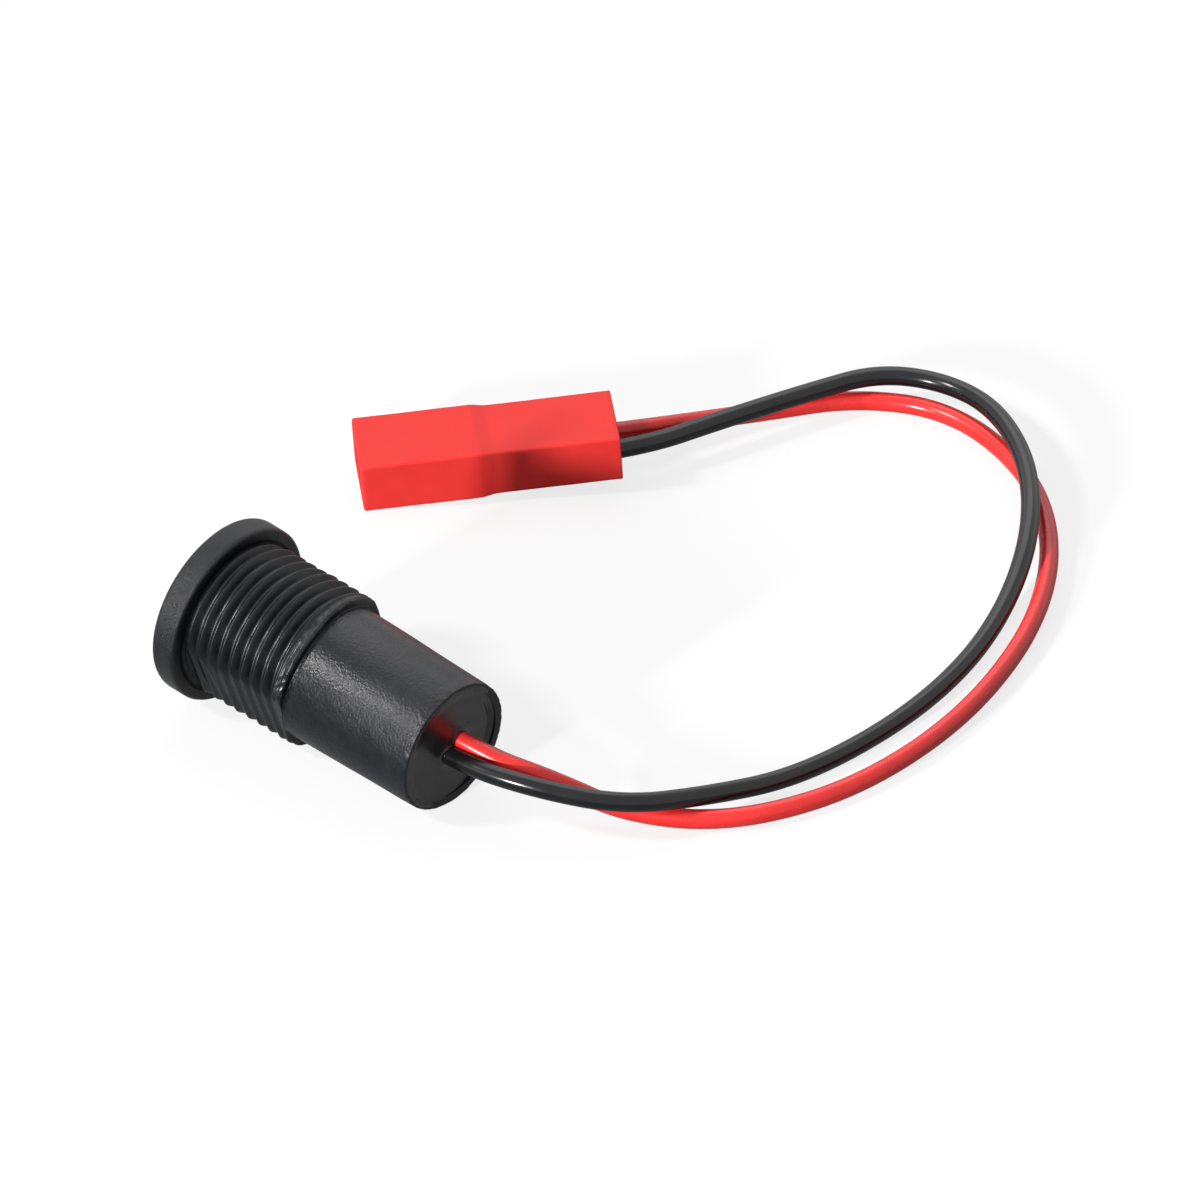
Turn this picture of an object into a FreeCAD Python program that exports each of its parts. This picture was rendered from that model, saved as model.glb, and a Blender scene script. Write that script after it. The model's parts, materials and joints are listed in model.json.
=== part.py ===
import FreeCAD, Part
import Sketcher
import math
import os
import re

from FreeCAD import Placement, Rotation, Vector

# A panel-mount charging port that lies on a table: a flanged, threaded barrel with a coaxial
# socket in its front, potted at the rear, and two leads to a small two-way plug connector.
# Millimetres and degrees, +Z up, the table at z = 0, +X from the flange towards the leads.

os.makedirs("parts", exist_ok=True)
doc = FreeCAD.newDocument("charging_port")
sheet = doc.addObject("Spreadsheet::Sheet", "sizes")

# Driving dimensions, each written once
sizes = {
    # moulded housing, measured along its axis from the front face
    "flange_overhang": 1.0,
    "flange_thickness": 2.1,
    "flange_edge_round": 0.35,
    "thread_diameter": 12.0,
    "thread_pitch": 1.045,
    "thread_depth": 0.55,
    "thread_crest_width": 0.17,
    "thread_root_width": 0.15,
    "thread_groove_count": 8,
    "first_crest_setback": 0.4,
    "foot_relief_width": 0.08,
    "seat_relief_reach": 0.12,
    "seat_relief_depth": 0.12,
    "collar_width": 1.1,
    "barrel_wall": 0.7,
    "barrel_draft": 0.2,
    "barrel_edge_round": 0.15,
    "near_flat_depth": 0.83,
    "near_flat_angle": 202.0,
    "far_flat_depth": 0.5,
    "far_flat_angle": 17.0,
    "mouth_diameter": 6.0,
    "mouth_chamfer": 0.4,
    "front_wall": 1.4,
    # contact carrier pressed into the housing
    "carrier_clearance": 0.05,
    "carrier_length": 11.0,
    "carrier_floor": 1.8,
    "carrier_wall": 0.65,
    "socket_diameter": 5.8,
    "spring_slot_depth": 0.8,
    "spring_slot_width": 2.4,
    "spring_slot_setback": 0.6,
    # centre pin
    "pin_diameter": 2.0,
    "pin_recess": 1.2,
    "pin_tip_length": 0.4,
    "pin_shank_diameter": 1.6,
    "pin_rivet_diameter": 2.4,
    "pin_rivet_height": 0.3,
    "shank_clearance": 0.02,
    # stamped tags and sleeve spring
    "tag_thickness": 0.4,
    "tag_washer_diameter": 3.8,
    "tag_tail_width": 1.4,
    "tag_tail_length": 3.8,
    "spring_thickness": 0.3,
    "spring_width": 2.2,
    "spring_seat_gap": 0.1,
    "spring_nose": 0.45,
    "spring_bow_start": 1.0,
    "spring_bow_length": 5.2,
    "spring_leg_gap": 0.4,
    "spring_tail_length": 3.2,
    # leads
    "wire_diameter": 1.45,
    "conductor_diameter": 0.61,
    "wire_pair_spacing": 1.6,
    "wire_pair_angle": 43.5,
    "wire_straight_exit": 1.2,
    "port_strip_length": 4.0,
    "strip_start_on_tag": 0.5,
    "strip_overlap_on_tag": 2.0,
    "solder_diameter": 1.2,
    "solder_length": 1.8,
    "tag_touch_gap": 0.005,
    # resin that pots the rear of the housing
    "resin_gap": 0.65,
    "resin_depth": 4.4,
    "resin_sink": 0.15,
    "resin_clearance": 0.02,
    "lead_hole_clearance": 0.15,
    # two-way connector on the far end of the leads
    "plug_front_width": 7.0,
    "plug_rear_width": 6.7,
    "plug_front_height": 3.9,
    "plug_rear_height": 3.7,
    "plug_taper_start": 8.9,
    "plug_taper_end": 10.0,
    "plug_edge_round": 0.1,
    "plug_mouth_width": 5.4,
    "plug_mouth_height": 2.5,
    "plug_mouth_depth": 9.6,
    "plug_pitch": 2.5,
    "plug_cavity_width": 1.7,
    "plug_cavity_height": 1.6,
    "plug_cavity_drop": 0.6,
    "contact_pin_diameter": 1.0,
    "contact_pin_recess": 1.8,
    "contact_box_side": 1.5,
    "contact_box_length": 3.8,
    "contact_neck_length": 0.285,
    "core_crimp_diameter": 1.2,
    "core_crimp_length": 1.9,
    "sleeve_crimp_wall": 0.06,
    "sleeve_crimp_length": 1.6,
    "crimp_gap": 0.015,
    "contact_floor_width": 0.8,
    "plug_strip_length": 2.3,
    "wire_inside_plug": 3.5,
    "wire_straight_at_plug": 1.5,
    # where the connector lies: its front lower edge rests on the table, its leads hold the rear up
    "plug_place_x": -21.375,
    "plug_place_y": 25.967,
    "plug_heading": 48.3,
    "plug_lift_angle": 3.6,
}

for row, (alias, value) in enumerate(sizes.items(), 1):
    sheet.set(f"A{row}", alias.replace("_", " "))
    sheet.set(f"B{row}", str(value))
    sheet.setAlias(f"B{row}", alias)
doc.recompute()

# Lengths that follow from the sizes and are used in several places, as expressions
derived = {
    "flange_radius": "(thread_diameter / 2 + flange_overhang)",
    "carrier_radius": "(socket_diameter / 2 + spring_slot_depth + carrier_wall)",
    "cavity_radius": "(carrier_radius + carrier_clearance)",
    "barrel_rear_radius": "(cavity_radius + barrel_wall)",
    "barrel_front_radius": "(barrel_rear_radius + barrel_draft)",
    "carrier_end": "(front_wall + carrier_length)",
    "socket_end": "(carrier_end - carrier_floor)",
    "thread_end": "(flange_thickness + first_crest_setback + thread_groove_count * thread_pitch)",
    "collar_end": "(thread_end + collar_width - thread_crest_width / 2)",
    "root_radius": "(thread_diameter / 2 - thread_depth)",
    "seat_radius": "(thread_diameter / 2 + seat_relief_reach)",
    "seat_level": "(socket_diameter / 2 + spring_slot_depth - spring_seat_gap)",
    "spring_leg": "(carrier_end + tag_thickness + pin_rivet_height + spring_leg_gap)",
    "strip_start": "(spring_leg + strip_start_on_tag)",
    "wire_start": "(strip_start + port_strip_length)",
    "resin_start": "(wire_start + resin_gap)",
    "resin_end": "(resin_start + resin_depth)",
    "port_length": "(resin_end + resin_sink)",
    "pair_side": "(wire_pair_spacing / 2 * cos(wire_pair_angle * 1deg))",
    "pair_rise": "(wire_pair_spacing / 2 * sin(wire_pair_angle * 1deg))",
    "tag_level": "(pair_rise + conductor_diameter / 2 + tag_touch_gap)",
    "plug_axis_height": "(plug_front_height / 2 - plug_cavity_drop)",
    "contact_box_start": "(plug_mouth_depth + crimp_gap)",
    "contact_box_end": "(contact_box_start + contact_box_length)",
    "core_crimp_start": "(contact_box_end + contact_neck_length)",
    "plug_wire_end": "(core_crimp_start + plug_strip_length)",
    "plug_length": "(plug_wire_end + wire_inside_plug)",
}


def cell(text):
    # An expression written with bare names becomes one that reads the spreadsheet
    while any(word in derived for word in re.findall("[a-z_]+", text)):
        text = re.sub("[a-z_]+", lambda found: derived.get(found.group(), found.group()), text)
    return re.sub("[a-z_]+", lambda found: ("sizes." if found.group() in sizes else "") + found.group(), text)


def amount(text):
    # The number that such an expression gives
    value = sheet_reader.evalExpression(cell(text))
    return float(getattr(value, "Value", value))


sheet_reader = doc.addObject("App::FeaturePython", "sheet_reader")


def bind(thing, **properties):
    # Ties properties of an object to spreadsheet expressions
    for name, text in properties.items():
        thing.setExpression(name, cell(text))


def new_body(label):
    body = doc.addObject("PartDesign::Body", label)
    body.Label = label
    return body


def origin_feature(body, role):
    return [feature for feature in body.Origin.OriginFeatures if feature.Role == role][0]


def outline(body, name, plane, points, along=None, turn=None):
    # A closed sketch whose corners are pairs of expressions, on an origin plane of its body
    sketch = body.newObject("Sketcher::SketchObject", name)
    sketch.AttachmentSupport = (origin_feature(body, plane), [""])
    sketch.MapMode = "FlatFace"
    if turn is not None:
        sketch.AttachmentOffset = Placement(Vector(), Rotation(Vector(0, 0, 1), amount(turn)))
        sketch.setExpression("AttachmentOffset.Rotation.Angle", cell(turn))
    if along is not None:
        sketch.setExpression("AttachmentOffset.Base.z", cell(along))
    places = [Vector(amount(across), amount(up), 0) for across, up in points]
    count = len(places)
    for index in range(count):
        sketch.addGeometry(Part.LineSegment(places[index], places[(index + 1) % count]), False)
    for index, (across, up) in enumerate(points):
        before = (index - 1) % count
        sketch.addConstraint(Sketcher.Constraint("Coincident", before, 2, index, 1))
        for kind, axis, text, value in (
            ("DistanceX", -2, across, places[index].x),
            ("DistanceY", -1, up, places[index].y),
        ):
            if abs(value) < 1e-9:
                sketch.addConstraint(Sketcher.Constraint("PointOnObject", index, 1, axis))
            else:
                number = sketch.addConstraint(Sketcher.Constraint(kind, -1, 1, index, 1, value))
                sketch.setExpression(f"Constraints[{number}]", cell(text))
    return sketch


def revolved(body, name, sketch, kind="PartDesign::Revolution"):
    feature = body.newObject(kind, name)
    feature.Profile = sketch
    feature.ReferenceAxis = (sketch, ["H_Axis"])
    feature.Angle = 360
    doc.recompute()
    return feature


def pushed(body, name, kind, sketch, length, reversed_way=False, both_ways=False):
    # A pad or a pocket of a sketch
    feature = body.newObject(kind, name)
    feature.Profile = sketch
    feature.Type = "Length"
    feature.Reversed = reversed_way
    if both_ways:
        feature.Midplane = True
    bind(feature, Length=length)
    doc.recompute()
    return feature


def rounded(body, name, base, edges, radius):
    feature = body.newObject("PartDesign::Fillet", name)
    feature.Base = (base, edges)
    bind(feature, Radius=radius)
    doc.recompute()
    return feature


tolerance = 1e-4


def rings(shape, along, radius):
    # Names of the round edges of a turned shape at this distance along its axis
    names = []
    for number, edge in enumerate(shape.Edges, 1):
        curve = edge.Curve
        if not isinstance(curve, Part.Circle):
            continue
        if abs(curve.Center.x - along) < tolerance and abs(curve.Radius - radius) < tolerance:
            names.append(f"Edge{number}")
    return names


def solid(kind, name, place=None, turn=None, **properties):
    # A primitive with its sizes bound to the sheet, at a place given as three expressions
    thing = doc.addObject(kind, name)
    bind(thing, **properties)
    if turn is not None:
        thing.Placement = Placement(Vector(), turn)
    if place is not None:
        for axis, text in zip("xyz", place):
            thing.setExpression(f"Placement.Base.{axis}", cell(text))
    doc.recompute()
    return thing


def rod(name, start, length, radius, side="0", up="0"):
    # A cylinder that points along +X
    return solid(
        "Part::Cylinder",
        name,
        place=(start, side, up),
        turn=Rotation(Vector(0, 1, 0), 90),
        Radius=radius,
        Height=length,
    )


def block(name, corner, length, width, height):
    return solid("Part::Box", name, place=corner, Length=length, Width=width, Height=height)


def joined(name, parts):
    thing = doc.addObject("Part::MultiFuse", name)
    thing.Shapes = parts
    thing.Refine = True
    doc.recompute()
    return thing


def cut(name, base, tools):
    thing = base
    for number, tool in enumerate(tools, 1):
        step = doc.addObject("Part::Cut", f"{name}_cut_{number}")
        step.Base = thing
        step.Tool = tool
        doc.recompute()
        thing = step
    return thing


nodes = {}


def keep(label, thing, placement):
    # A finished sub-part takes its label and its place; its own offset is already counted in
    thing.Label = label
    place = placement.multiply(thing.Placement)
    for name, text in thing.ExpressionEngine:
        if "Placement" in name:
            thing.setExpression(name, None)
    thing.Placement = place
    nodes[label] = thing
    return thing


# Where the port lies: it rests on its flange rim and on its rear edge, so it dips to the rear
flange_contact_x = amount("flange_thickness - flange_edge_round")
flange_contact_r = amount("flange_radius - flange_edge_round")
rear_contact_x = amount("port_length - barrel_edge_round")
barrel_slope = "barrel_draft / (port_length - collar_end)"
rear_contact_r = amount(f"barrel_rear_radius - barrel_edge_round * (1 - {barrel_slope})")
contact_run = rear_contact_x - flange_contact_x
contact_drop = rear_contact_r - flange_contact_r
round_difference = amount("flange_edge_round - barrel_edge_round")
port_dip = math.asin(round_difference / math.hypot(contact_run, contact_drop))
port_dip -= math.atan2(contact_drop, contact_run)
port_height = (
    flange_contact_x * math.sin(port_dip)
    + flange_contact_r * math.cos(port_dip)
    + amount("flange_edge_round")
)
front_reach = (
    amount("flange_edge_round") * (math.cos(port_dip) - 1)
    - flange_contact_r * math.sin(port_dip)
)
rear_reach = (
    rear_contact_x * math.cos(port_dip)
    + rear_contact_r * math.sin(port_dip)
    + amount("barrel_edge_round")
)
port_place = Placement(
    Vector(-(front_reach + rear_reach) / 2, 0, port_height),
    Rotation(Vector(0, 1, 0), math.degrees(port_dip)),
)
plug_place = Placement(
    Vector(amount("plug_place_x"), amount("plug_place_y"), 0),
    Rotation(Vector(0, 0, 1), amount("plug_heading")).multiply(
        Rotation(Vector(0, 1, 0), -amount("plug_lift_angle"))
    ),
)


# Moulded housing: flange, thread, collar and rear barrel in one piece
def make_housing():
    body = new_body("housing")
    section = outline(
        body,
        "housing_section",
        "XY_Plane",
        [
            ("mouth_chamfer", "mouth_diameter / 2"),
            ("0", "mouth_diameter / 2 + mouth_chamfer"),
            ("0", "flange_radius"),
            ("flange_thickness", "flange_radius"),
            ("flange_thickness", "seat_radius"),
            ("flange_thickness - seat_relief_depth", "seat_radius"),
            ("flange_thickness - seat_relief_depth", "root_radius"),
            ("flange_thickness + foot_relief_width", "root_radius"),
            (
                "flange_thickness + first_crest_setback - thread_crest_width / 2",
                "thread_diameter / 2",
            ),
            ("collar_end", "thread_diameter / 2"),
            ("collar_end", "barrel_front_radius"),
            ("port_length", "barrel_rear_radius"),
            ("port_length", "cavity_radius"),
            ("front_wall", "cavity_radius"),
            ("front_wall", "mouth_diameter / 2"),
        ],
    )
    turned = revolved(body, "housing_turned", section)
    flange_edges = rings(turned.Shape, 0, amount("flange_radius"))
    flange_edges += rings(turned.Shape, amount("flange_thickness"), amount("flange_radius"))
    flange = rounded(body, "flange_rounding", turned, flange_edges, "flange_edge_round")
    rear_edges = rings(flange.Shape, amount("port_length"), amount("barrel_rear_radius"))
    rounded(body, "rear_rounding", flange, rear_edges, "barrel_edge_round")
    groove_middle = "flange_thickness + first_crest_setback + thread_pitch / 2"
    half_mouth = "(thread_pitch - thread_crest_width) / 2"
    groove_section = outline(
        body,
        "thread_groove_section",
        "XY_Plane",
        [
            (f"{groove_middle} - thread_root_width / 2", "root_radius"),
            (f"{groove_middle} + thread_root_width / 2", "root_radius"),
            (f"{groove_middle} + {half_mouth}", "thread_diameter / 2"),
            (f"{groove_middle} - {half_mouth}", "thread_diameter / 2"),
        ],
    )
    groove = revolved(body, "thread_groove", groove_section, "PartDesign::Groove")
    thread = body.newObject("PartDesign::LinearPattern", "thread_grooves")
    thread.Originals = [groove]
    thread.Direction = (origin_feature(body, "X_Axis"), [""])
    bind(thread, Length="(thread_groove_count - 1) * thread_pitch", Occurrences="thread_groove_count")
    body.Tip = thread
    doc.recompute()
    for side in ("near", "far"):
        level = f"thread_diameter / 2 - {side}_flat_depth"
        flat_section = outline(
            body,
            f"{side}_flat_section",
            "YZ_Plane",
            [
                (level, "-thread_diameter / 2"),
                ("thread_diameter / 2 + thread_depth", "-thread_diameter / 2"),
                ("thread_diameter / 2 + thread_depth", "thread_diameter / 2"),
                (level, "thread_diameter / 2"),
            ],
            along="flange_thickness",
            turn=f"{side}_flat_angle",
        )
        before = body.Tip.Shape.Volume
        flat = pushed(
            body,
            f"{side}_flat",
            "PartDesign::Pocket",
            flat_section,
            "collar_end - flange_thickness",
            reversed_way=True,
        )
        if flat.Shape.Volume >= before:
            raise ValueError(f"the {side} flat cut nothing")
    keep("housing", body, port_place)


# Contact carrier: the insulating insert that forms the socket
def make_carrier():
    body = new_body("contact_carrier")
    section = outline(
        body,
        "carrier_section",
        "XY_Plane",
        [
            ("front_wall", "socket_diameter / 2"),
            ("front_wall", "carrier_radius"),
            ("carrier_end", "carrier_radius"),
            ("carrier_end", "pin_shank_diameter / 2 + shank_clearance"),
            ("socket_end", "pin_shank_diameter / 2 + shank_clearance"),
            ("socket_end", "socket_diameter / 2"),
        ],
    )
    turned = revolved(body, "carrier_turned", section)
    slot_section = outline(
        body,
        "spring_slot_section",
        "YZ_Plane",
        [
            ("-spring_slot_width / 2", "-socket_diameter / 2 - spring_slot_depth"),
            ("spring_slot_width / 2", "-socket_diameter / 2 - spring_slot_depth"),
            ("spring_slot_width / 2", "-socket_diameter / 2 + spring_slot_depth"),
            ("-spring_slot_width / 2", "-socket_diameter / 2 + spring_slot_depth"),
        ],
        along="front_wall + spring_slot_setback",
    )
    slot = pushed(
        body, "spring_slot", "PartDesign::Pocket", slot_section, "carrier_length", reversed_way=True
    )
    if slot.Shape.Volume >= turned.Shape.Volume:
        raise ValueError("the spring slot cut nothing")
    keep("contact_carrier", body, port_place)


# Centre pin: turned, with a shank riveted over the pin terminal
def make_centre_pin():
    body = new_body("centre_pin")
    rivet_start = "carrier_end + tag_thickness"
    section = outline(
        body,
        "pin_section",
        "XY_Plane",
        [
            ("pin_recess", "0"),
            ("pin_recess", "pin_diameter / 4"),
            ("pin_recess + pin_tip_length", "pin_diameter / 2"),
            ("socket_end", "pin_diameter / 2"),
            ("socket_end", "pin_shank_diameter / 2"),
            (rivet_start, "pin_shank_diameter / 2"),
            (rivet_start, "pin_rivet_diameter / 2"),
            (f"{rivet_start} + pin_rivet_height", "pin_shank_diameter / 2"),
            (f"{rivet_start} + pin_rivet_height", "0"),
        ],
    )
    revolved(body, "pin_turned", section)
    keep("centre_pin", body, port_place)


# Pin terminal: a stamped washer under the rivet, with a solder tail for the red lead
def make_pin_terminal():
    washer = rod("terminal_washer", "carrier_end", "tag_thickness", "tag_washer_diameter / 2")
    tail = block(
        "terminal_tail",
        ("carrier_end", "pair_side - tag_tail_width / 2", "tag_level"),
        "tag_tail_length",
        "tag_tail_width",
        "tag_thickness",
    )
    plate = joined("terminal_plate", [washer, tail])
    hole = rod(
        "terminal_hole", "carrier_end", "tag_thickness", "pin_shank_diameter / 2 + shank_clearance"
    )
    head_room = rod(
        "terminal_head_room",
        "carrier_end + tag_thickness",
        "pin_rivet_height + shank_clearance",
        "pin_rivet_diameter / 2 + shank_clearance",
    )
    keep("pin_terminal", cut("terminal", plate, [hole, head_room]), port_place)


# Sleeve spring: one strip, bowed into the socket and folded to a solder tail for the black lead
def make_sleeve_spring():
    body = new_body("sleeve_spring")
    bow_start = "front_wall + spring_bow_start"
    bow_end = f"{bow_start} + spring_bow_length"
    nose_in = f"{bow_start} + spring_bow_length / 3"
    nose_out = f"{bow_start} + spring_bow_length * 2 / 3"
    nose_level = "-(socket_diameter / 2 - spring_nose)"
    leg = "spring_leg"
    section = outline(
        body,
        "spring_section",
        "XZ_Plane",
        [
            (bow_start, "-seat_level"),
            (nose_in, f"{nose_level} - spring_thickness"),
            (nose_out, f"{nose_level} - spring_thickness"),
            (bow_end, "-seat_level"),
            (f"{leg} + spring_thickness", "-seat_level"),
            (f"{leg} + spring_thickness", "-tag_level - spring_thickness"),
            (f"{leg} + spring_tail_length", "-tag_level - spring_thickness"),
            (f"{leg} + spring_tail_length", "-tag_level"),
            (leg, "-tag_level"),
            (leg, "-seat_level + spring_thickness"),
            (f"{bow_end} + spring_thickness / 3", "-seat_level + spring_thickness"),
            (f"{nose_out} + spring_thickness / 3", nose_level),
            (f"{nose_in} - spring_thickness / 3", nose_level),
            (f"{bow_start} - spring_thickness / 3", "-seat_level + spring_thickness"),
        ],
    )
    pushed(body, "spring_strip", "PartDesign::Pad", section, "spring_width", both_ways=True)
    keep("sleeve_spring", body, port_place)


# Resin that pots the rear of the housing, with the two leads through it
def make_resin():
    disc = rod(
        "resin_disc",
        "resin_start",
        "resin_end - resin_start",
        "cavity_radius - resin_clearance",
    )
    lead_hole = "wire_diameter / 2 + lead_hole_clearance"
    depth = "resin_end - resin_start"
    red_hole = rod("red_lead_hole", "resin_start", depth, lead_hole, "pair_side", "pair_rise")
    black_hole = rod("black_lead_hole", "resin_start", depth, lead_hole, "-pair_side", "-pair_rise")
    keep("resin_plug", cut("resin", disc, [red_hole, black_hole]), port_place)


# Stripped end of each lead inside the port, and the solder that joins it to its tag
def make_port_joint(colour, sign):
    side = f"{sign}pair_side"
    up = f"{sign}pair_rise"
    strip = rod(f"{colour}_strip", "strip_start", "port_strip_length", "conductor_diameter / 2", side, up)
    collar = rod(
        f"{colour}_solder_round",
        "strip_start + (strip_overlap_on_tag - solder_length) / 2",
        "solder_length",
        "solder_diameter / 2",
        side,
        up,
    )
    bore = rod(
        f"{colour}_solder_bore",
        "strip_start",
        "strip_overlap_on_tag",
        "conductor_diameter / 2",
        side,
        up,
    )
    above = "tag_level" if sign == "" else "-tag_level - solder_diameter"
    flat = block(
        f"{colour}_solder_flat",
        ("strip_start", f"{side} - solder_diameter", above),
        "strip_overlap_on_tag",
        "solder_diameter * 2",
        "solder_diameter",
    )
    keep(f"{colour}_solder_joint", cut(f"{colour}_solder", collar, [bore, flat]), port_place)
    keep(f"{colour}_conductor_port_end", strip, port_place)


def box_corners(across, up, width, height):
    # The corners of a rectangle round a middle, as pairs of expressions
    signs = (("-", "-"), ("+", "-"), ("+", "+"), ("-", "+"))
    return [(f"{across} {side} {width} / 2", f"{up} {rise} {height} / 2") for side, rise in signs]


# Connector housing: shrouded mouth in front, two cavities behind
def make_connector_housing():
    body = new_body("connector_housing")
    sections = []
    for name, along, width, height in (
        ("front", "0", "plug_front_width", "plug_front_height"),
        ("taper_start", "plug_taper_start", "plug_front_width", "plug_front_height"),
        ("taper_end", "plug_taper_end", "plug_rear_width", "plug_rear_height"),
        ("rear", "plug_length", "plug_rear_width", "plug_rear_height"),
    ):
        side = f"{width} / 2"
        low = f"(plug_front_height - {height}) / 2"
        high = f"(plug_front_height + {height}) / 2"
        corners = [
            (f"plug_edge_round - {side}", low),
            (f"{side} - plug_edge_round", low),
            (side, f"{low} + plug_edge_round"),
            (side, f"{high} - plug_edge_round"),
            (f"{side} - plug_edge_round", high),
            (f"plug_edge_round - {side}", high),
            (f"-{side}", f"{high} - plug_edge_round"),
            (f"-{side}", f"{low} + plug_edge_round"),
        ]
        sections.append(outline(body, f"connector_{name}_section", "YZ_Plane", corners, along=along))
    soft = body.newObject("PartDesign::AdditiveLoft", "connector_block")
    soft.Profile = sections[0]
    soft.Sections = sections[1:]
    soft.Ruled = True
    doc.recompute()
    mouth_corners = box_corners("0", "plug_front_height / 2", "plug_mouth_width", "plug_mouth_height")
    mouth = outline(body, "connector_mouth_section", "YZ_Plane", mouth_corners)
    hollow = pushed(
        body,
        "connector_mouth",
        "PartDesign::Pocket",
        mouth,
        "plug_mouth_depth",
        reversed_way=True,
    )
    if hollow.Shape.Volume >= soft.Shape.Volume:
        raise ValueError("the connector mouth cut nothing")
    for name, sign in (("far", ""), ("near", "-")):
        middle = f"{sign}plug_pitch / 2"
        corners = box_corners(middle, "plug_axis_height", "plug_cavity_width", "plug_cavity_height")
        cavity = outline(
            body, f"{name}_cavity_section", "YZ_Plane", corners, along="plug_mouth_depth"
        )
        pushed(
            body,
            f"{name}_cavity",
            "PartDesign::Pocket",
            cavity,
            "plug_length - plug_mouth_depth",
            reversed_way=True,
        )
    keep("connector_housing", body, plug_place)


# Crimp contact of one lead: pin, box, conductor crimp and insulation crimp in one strip of metal
def make_contact(colour, sign):
    side = f"{sign}plug_pitch / 2"
    up = "plug_axis_height"
    sleeve_radius = "(wire_diameter / 2 + crimp_gap + sleeve_crimp_wall)"
    pin = rod(
        f"{colour}_contact_pin",
        "contact_pin_recess",
        "contact_box_start - contact_pin_recess",
        "contact_pin_diameter / 2",
        side,
        up,
    )
    box = block(
        f"{colour}_contact_box",
        ("contact_box_start", f"{side} - contact_box_side / 2", f"{up} - contact_box_side / 2"),
        "contact_box_length",
        "contact_box_side",
        "contact_box_side",
    )
    core = rod(
        f"{colour}_core_crimp",
        "contact_box_end",
        "core_crimp_start + core_crimp_length - contact_box_end",
        "core_crimp_diameter / 2",
        side,
        up,
    )
    sleeve = rod(
        f"{colour}_sleeve_crimp",
        "plug_wire_end + crimp_gap",
        "sleeve_crimp_length",
        sleeve_radius,
        side,
        up,
    )
    floor = block(
        f"{colour}_contact_floor",
        ("contact_box_end", f"{side} - contact_floor_width / 2", f"{up} - {sleeve_radius}"),
        "plug_wire_end + crimp_gap + sleeve_crimp_length - contact_box_end",
        "contact_floor_width",
        f"{sleeve_radius} - conductor_diameter / 2 - crimp_gap",
    )
    metal = joined(f"{colour}_contact_metal", [pin, box, core, sleeve, floor])
    core_bore = rod(
        f"{colour}_core_bore",
        "core_crimp_start",
        "plug_strip_length",
        "conductor_diameter / 2 + crimp_gap",
        side,
        up,
    )
    sleeve_bore = rod(
        f"{colour}_sleeve_bore",
        "plug_wire_end - crimp_gap",
        "plug_length - plug_wire_end",
        "wire_diameter / 2 + crimp_gap",
        side,
        up,
    )
    keep(f"{colour}_crimp_contact", cut(f"{colour}_contact", metal, [core_bore, sleeve_bore]), plug_place)
    stub = rod(
        f"{colour}_plug_stub",
        "core_crimp_start + crimp_gap",
        "plug_strip_length - crimp_gap",
        "conductor_diameter / 2",
        side,
        up,
    )
    keep(f"{colour}_conductor_plug_end", stub, plug_place)


# Leads: straight runs joined by tangent arcs, each arc as large as its two runs allow
arc_share = 0.45


def lead_path(points):
    edges = []
    radii = []
    last = points[0]
    for before, corner, after in zip(points, points[1:], points[2:]):
        run_in = corner - before
        run_out = after - corner
        back = arc_share * min(run_in.Length, run_out.Length)
        turn = run_in.getAngle(run_out)
        radii.append(back / math.tan(turn / 2))
        way_in = Vector(run_in).normalize()
        way_out = Vector(run_out).normalize()
        start = corner - way_in * back
        end = corner + way_out * back
        inward = (way_out - way_in).normalize()
        middle = corner + inward * (radii[-1] / math.cos(turn / 2) - radii[-1])
        edges.append(Part.LineSegment(last, start).toShape())
        edges.append(Part.Arc(start, middle, end).toShape())
        last = end
    edges.append(Part.LineSegment(last, points[-1]).toShape())
    return Part.Wire(edges), radii


def make_lead(label, points):
    path, radii = lead_path(points)
    radius = amount("wire_diameter / 2")
    ring = Part.Wire([Part.makeCircle(radius, points[0], points[1] - points[0])])
    tube = path.makePipeShell([ring], True, False)
    ideal = math.pi * radius**2 * path.Length
    print(label, "length", round(path.Length, 2), "volume share", round(tube.Volume / ideal, 4))
    print("  arc radii", [round(value, 1) for value in radii])
    lead = doc.addObject("Part::Feature", label)
    lead.Shape = tube
    keep(label, lead, Placement())


def port_point(along, sign):
    side = sign * amount("pair_side")
    up = sign * amount("pair_rise")
    return port_place.multVec(Vector(along, side, up))


def plug_point(along, sign):
    return plug_place.multVec(Vector(along, sign * amount("plug_pitch / 2"), amount("plug_axis_height")))


# The red lead lies on the table from the port round to the connector
red_route = [
    Vector(18.4, 3.6, 3.3),
    Vector(22.4, 6.5, 0.9),
    Vector(28.2, 10.3, 0.75),
    Vector(31.9, 17.4, 0.75),
    Vector(33.0, 26.0, 0.75),
    Vector(31.9, 35.5, 0.75),
    Vector(28.4, 45.6, 0.75),
    Vector(22.6, 54.2, 0.75),
    Vector(15.0, 60.1, 0.75),
    Vector(5.8, 62.4, 0.75),
    Vector(-0.8, 59.0, 0.75),
    Vector(-4.9, 52.4, 0.8),
]

# The black lead crosses over the red one three times, in low humps
black_route = [
    Vector(19.2, 1.0, 4.3),
    Vector(24.0, 4.6, 3.3),
    Vector(26.3, 10.6, 2.0),
    Vector(28.5, 18.0, 0.75),
    Vector(29.6, 27.5, 0.75),
    Vector(28.6, 36.8, 0.75),
    Vector(25.8, 45.2, 1.0),
    Vector(22.0, 52.4, 2.3),
    Vector(16.1, 58.9, 2.5),
    Vector(9.6, 62.8, 2.5),
    Vector(4.0, 63.3, 2.2),
    Vector(-0.2, 60.6, 2.4),
    Vector(-2.1, 55.4, 2.5),
    Vector(-4.4, 48.2, 2.6),
]


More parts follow.
